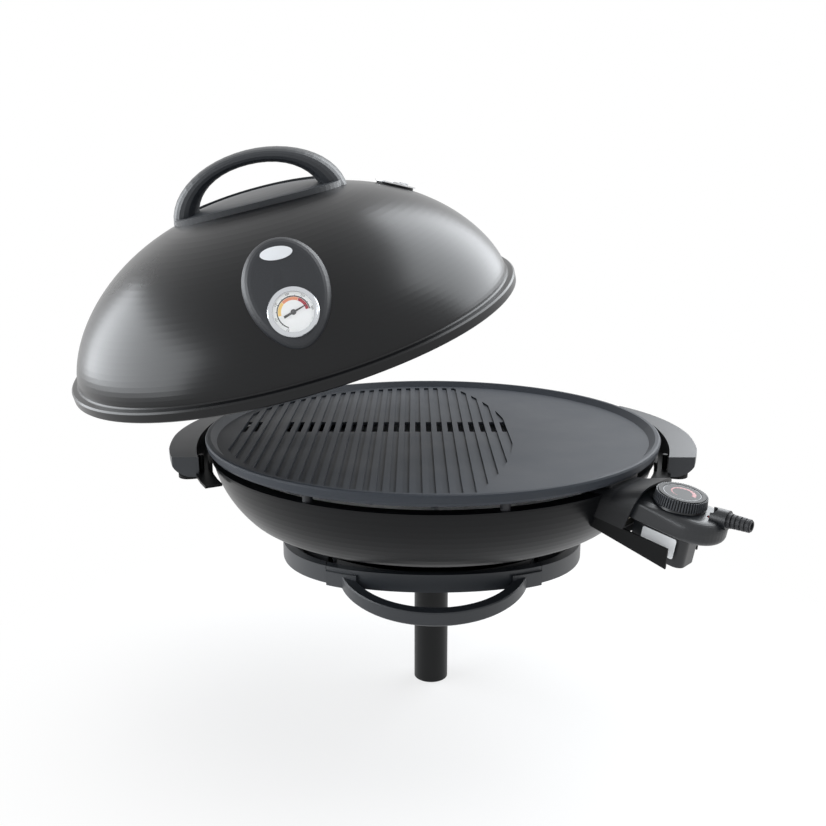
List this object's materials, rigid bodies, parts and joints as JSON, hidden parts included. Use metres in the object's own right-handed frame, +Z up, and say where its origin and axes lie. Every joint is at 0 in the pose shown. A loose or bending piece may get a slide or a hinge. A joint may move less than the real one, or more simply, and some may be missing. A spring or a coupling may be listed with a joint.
{
  "type": "electric indoor grill with lid",
  "caption": "Round electric grill: ribbed plate over a bowl on a post, domed lid lifted clear, plug-in thermostat, side handles and a drip tray with a bow handle.",
  "frame": {"origin": "centre of the lower end of the post's top section", "axes": "+Z up along the post, -Y the grill's front with the tray's bow handle, +X to the right with the thermostat at the front right"},
  "size_m": [0.6443, 0.4899, 0.5745],
  "materials": {
    "black_paint": "satin black heat-proof paint",
    "moulded_black": "fine-grained black plastic",
    "moulded_grey": "fine-grained anthracite plastic",
    "plated_steel": "zinc-plated steel",
    "stainless_sheet": "plain stainless sheet",
    "reflector_steel": "bright aluminised steel",
    "dark_steel": "dark grey painted steel",
    "nonstick_cast": "matte grey non-stick coating on cast aluminium",
    "element_steel": "heat-darkened steel sheath",
    "rubber_black": "black rubber",
    "moulded_socket": "black thermoset",
    "contact_brass": "turned brass",
    "lamp_red": "clear red plastic",
    "block_cream": "cream ceramic-filled plastic",
    "case_metal": "satin chromed steel",
    "dial_white": "white printed metal",
    "needle_black": "black painted metal",
    "clear_glass": "clear glass"
  },
  "bodies": {
    "base": {"post_tube": "black_paint", "hub": "moulded_black", "hub_screws": "plated_steel", "clamp_screw": "moulded_black", "drip_housing": "moulded_black", "base_ring": "moulded_black", "tray_runners": "plated_steel", "bowl": "black_paint", "bowl_screws": "plated_steel", "heat_shield": "reflector_steel", "shield_posts": "plated_steel", "left_bracket": "dark_steel", "right_bracket": "dark_steel", "left_handle": "moulded_grey", "right_handle": "moulded_grey", "handle_screws": "plated_steel", "plug_guard": "dark_steel"},
    "plate": {"grill_plate": "nonstick_cast", "heating_tube": "element_steel", "tube_clips": "plated_steel", "plate_feet": "rubber_black", "socket_shroud": "moulded_socket", "contact_pins": "contact_brass", "earth_pin": "plated_steel"},
    "thermostat": {"thermostat_top": "moulded_grey", "thermostat_base": "moulded_grey", "strain_relief": "rubber_black", "lamp_lens": "lamp_red", "contact_sockets": "contact_brass", "heat_probe": "stainless_sheet", "switch_block": "block_cream", "thermostat_screws": "plated_steel"},
    "knob": {"control_knob": "moulded_black", "knob_disc": "moulded_grey", "knob_shaft": "plated_steel"},
    "lid": {"lid_shell": "black_paint", "lid_handle": "moulded_grey", "lid_handle_screws": "plated_steel", "badge_plate": "moulded_grey", "thermometer_case": "case_metal", "dial_face": "dial_white", "dial_glass": "clear_glass", "thermometer_stem": "stainless_sheet", "stem_nut": "plated_steel", "vent_seat": "moulded_black", "vent_rivet": "plated_steel"},
    "needle": {"needle": "needle_black"},
    "vent": {"vent_shutter": "stainless_sheet"},
    "tray": {"drip_tray": "stainless_sheet", "tray_front": "moulded_black", "bow_handle": "moulded_grey", "bow_screws": "plated_steel"}
  },
  "joints": [
    {"name": "plate_lift", "type": "slide", "parent": "base", "child": "plate", "axis": [0, 0, 1], "range_m": [0, 0.06]},
    {"name": "lid_lift", "type": "hinge", "parent": "plate", "child": "lid", "pos_m": [-0.3134, -0.3316, 0.0781], "axis": [-0.3315, 0.7102, -0.6211], "range_deg": [0, 20.28]},
    {"name": "thermostat_plug", "type": "slide", "parent": "plate", "child": "thermostat", "axis": [0.7319, -0.659, -0.1736], "range_m": [0, 0.06]},
    {"name": "knob_turn", "type": "hinge", "parent": "thermostat", "child": "knob", "pos_m": [0.20989, -0.18899, 0.25458], "axis": [0.129, -0.1162, 0.9848], "range_deg": [-270, 0]},
    {"name": "needle_turn", "type": "hinge", "parent": "lid", "child": "needle", "pos_m": [-0.11938, -0.18379, 0.43179], "axis": [0.0696, -0.9432, 0.3249], "range_deg": [-15, 200]},
    {"name": "vent_turn", "type": "hinge", "parent": "lid", "child": "vent", "pos_m": [-0.03919, 0.04755, 0.53608], "axis": [0.2143, 0.0063, 0.9767], "range_deg": [0, 45]},
    {"name": "tray_slide", "type": "slide", "parent": "base", "child": "tray", "axis": [0, -1, 0], "range_m": [0, 0.15]}
  ]
}
